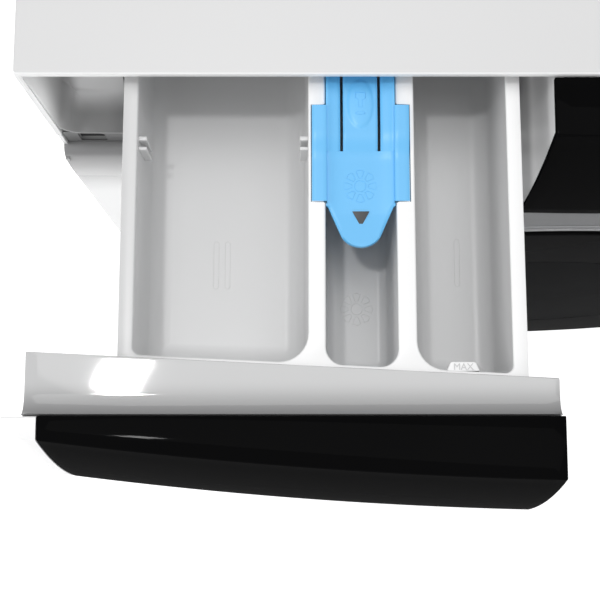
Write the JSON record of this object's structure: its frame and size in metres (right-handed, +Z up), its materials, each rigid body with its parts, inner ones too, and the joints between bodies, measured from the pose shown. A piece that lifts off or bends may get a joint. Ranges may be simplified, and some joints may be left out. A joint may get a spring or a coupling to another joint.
{
  "type": "front load washing machine",
  "caption": "Free-standing front load washing machine with a pulled-out three-compartment detergent drawer, round porthole door, suspended tub and belt-driven drum.",
  "frame": {"origin": "on the floor, in the middle of the box of the whole machine with its drawer pulled out", "axes": "+Z up, -Y towards the front, where the door and the drawer open, +X to the right of someone who faces the machine"},
  "size_m": [0.595, 0.745, 0.85],
  "materials": {
    "white_paint": "gloss enamel on sheet steel",
    "worktop": "satin light grey laminate",
    "white_plastic": "satin moulded polypropylene",
    "grey_plastic": "matte filled polypropylene",
    "black_gloss": "high gloss black",
    "black_glass": "black printed glass",
    "clear_glass": "clear pressed glass",
    "blue_plastic": "satin light blue moulding",
    "silver": "silver plated plastic",
    "steel": "bright steel",
    "drum_steel": "brushed stainless sheet",
    "galvanised": "zinc coated sheet",
    "aluminium": "die cast",
    "concrete": "cast concrete, raw",
    "grey_rubber": "matte grey elastomer",
    "black_rubber": "matte black",
    "circuit": "green laminate board"
  },
  "bodies": {
    "cabinet": {"left_side_panel": "white_paint", "right_side_panel": "white_paint", "rear_panel": "galvanised", "rear_cover": "galvanised", "front_panel": "white_paint", "top_panel": "worktop", "base_frame": "grey_plastic", "console_frame": "white_plastic", "console_glass": "black_gloss", "dispenser_housing": "white_plastic", "inlet_valve": "white_plastic", "control_board": "circuit", "drain_pump": "grey_plastic", "door_lock": "grey_plastic", "hinge_bracket": "steel", "damper_body_left": "grey_plastic", "damper_body_right": "grey_plastic", "door_gasket": "grey_rubber", "sump_hose": "black_rubber", "cord_gland": "black_rubber"},
    "tub": {"tub_front": "grey_plastic", "tub_rear": "grey_plastic", "top_counterweight": "concrete", "front_counterweight": "concrete", "heater": "steel", "motor_body": "aluminium", "front_bearing": "steel", "rear_bearing": "steel", "damper_rod_left": "steel", "damper_rod_right": "steel", "spring_left": "steel", "spring_right": "steel", "drive_belt": "black_rubber"},
    "drum": {"drum_shell": "drum_steel", "drum_shaft": "steel", "lifter_1": "white_plastic", "lifter_2": "white_plastic", "lifter_3": "white_plastic", "drum_spider": "aluminium", "drum_pulley": "aluminium"},
    "rotor": {"motor_pulley": "steel"},
    "door": {"door_rim": "silver", "door_front_glass": "black_glass", "door_bowl": "clear_glass", "door_inner_ring": "white_plastic", "door_hinge_arm": "steel"},
    "latch": {"door_latch": "grey_plastic"},
    "drawer": {"drawer_tray": "white_plastic", "drawer_front_body": "white_plastic", "drawer_front_fascia": "black_gloss", "siphon_cap": "blue_plastic"},
    "release": {"release_tab": "blue_plastic"},
    "knob": {"program_knob": "silver"},
    "start": {"start_button": "silver"},
    "flap": {"service_flap": "white_paint"},
    "filter": {"filter_cap": "grey_plastic"},
    "foot_front_left": {"foot_front_left": "black_rubber"},
    "foot_front_right": {"foot_front_right": "black_rubber"},
    "foot_rear_left": {"foot_rear_left": "black_rubber"},
    "foot_rear_right": {"foot_rear_right": "black_rubber"}
  },
  "joints": [
    {"name": "drawer_slide", "type": "slide", "parent": "cabinet", "child": "drawer", "axis": [0, -1, 0], "range_m": [-0.1536, 0]},
    {"name": "release_press", "type": "hinge", "parent": "drawer", "child": "release", "pos_m": [-0.1393, -0.20734, 0.8366], "axis": [-1, 0, 0], "range_deg": [0, 5], "stiffness_Nm_per_rad": 2.5},
    {"name": "door_swing", "type": "hinge", "parent": "cabinet", "child": "door", "pos_m": [-0.229, -0.20054, 0.442], "axis": [0, 0, -1], "range_deg": [0, 160]},
    {"name": "latch_pivot", "type": "hinge", "parent": "door", "child": "latch", "pos_m": [0.2115, -0.18254, 0.442], "axis": [0, 0, 1], "range_deg": [0, 10], "stiffness_Nm_per_rad": 0.8},
    {"name": "tub_float", "type": "slide", "parent": "cabinet", "child": "tub", "axis": [0, 0, 1], "range_m": [-0.01, 0.008], "stiffness_N_per_m": 12000, "springref_m": 0.02807, "deforming": ["spring_left", "spring_right", "door_gasket", "sump_hose"]},
    {"name": "drum_spin", "type": "hinge", "parent": "tub", "child": "drum", "pos_m": [0, 0.05446, 0.442], "axis": [0, 1, 0], "continuous": true},
    {"name": "motor_spin", "type": "hinge", "parent": "tub", "child": "rotor", "pos_m": [-0.03, 0.25446, 0.113], "axis": [0, 1, 0], "continuous": true},
    {"name": "knob_turn", "type": "hinge", "parent": "cabinet", "child": "knob", "pos_m": [0.042, -0.21375, 0.804], "axis": [0, -0.9836, 0.1803], "continuous": true},
    {"name": "start_press", "type": "slide", "parent": "cabinet", "child": "start", "axis": [0, 0.9836, -0.1803], "range_m": [0, 0.0015], "stiffness_N_per_m": 400},
    {"name": "flap_swing", "type": "hinge", "parent": "cabinet", "child": "flap", "pos_m": [0.205, -0.18104, 0.043], "axis": [1, 0, 0], "range_deg": [0, 100]},
    {"name": "filter_turn", "type": "hinge", "parent": "cabinet", "child": "filter", "pos_m": [0.205, -0.16554, 0.088], "axis": [0, -1, 0], "range_deg": [0, 270]},
    {"name": "foot_turn_front_left", "type": "hinge", "parent": "cabinet", "child": "foot_front_left", "pos_m": [-0.268, -0.13554, 0.02], "axis": [0, 0, 1], "range_deg": [-360, 1800]},
    {"name": "foot_turn_front_right", "type": "hinge", "parent": "cabinet", "child": "foot_front_right", "pos_m": [0.268, -0.13554, 0.02], "axis": [0, 0, 1], "range_deg": [-360, 1800]},
    {"name": "foot_turn_rear_left", "type": "hinge", "parent": "cabinet", "child": "foot_rear_left", "pos_m": [-0.268, 0.31446, 0.02], "axis": [0, 0, 1], "range_deg": [-360, 1800]},
    {"name": "foot_turn_rear_right", "type": "hinge", "parent": "cabinet", "child": "foot_rear_right", "pos_m": [0.268, 0.31446, 0.02], "axis": [0, 0, 1], "range_deg": [-360, 1800]}
  ],
  "couplings": [
    {"joint": "motor_spin", "follows": "drum_spin", "ratio": 15.556}
  ]
}
